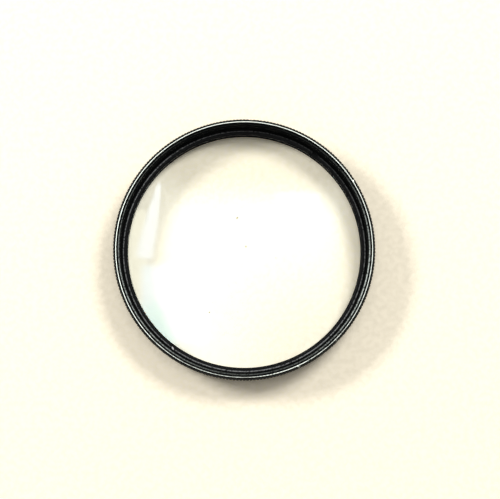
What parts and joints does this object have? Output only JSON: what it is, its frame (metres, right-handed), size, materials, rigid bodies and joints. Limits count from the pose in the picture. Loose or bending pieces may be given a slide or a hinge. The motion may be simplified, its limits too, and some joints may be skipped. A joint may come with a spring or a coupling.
{
  "type": "screw-in lens filter",
  "caption": "Round clear filter for a camera lens: a knurled black ring with a thread at each end, a glass disc and a slotted ring that holds the glass.",
  "frame": {"origin": "on the screw axis, in the plane of the rear thread's end face, which the filter stands on", "axes": "+Z along the screw axis, from the rear thread towards the front"},
  "size_m": [0.054, 0.054, 0.0079],
  "materials": {
    "anodised_ring": "satin black anodised, rubbed bright along the front edge",
    "clear_glass": "polished and coated",
    "matt_black_ring": "matt black anodised"
  },
  "bodies": {
    "root": {"filter_ring": "anodised_ring", "filter_glass": "clear_glass", "retaining_ring": "matt_black_ring"}
  },
  "joints": []
}
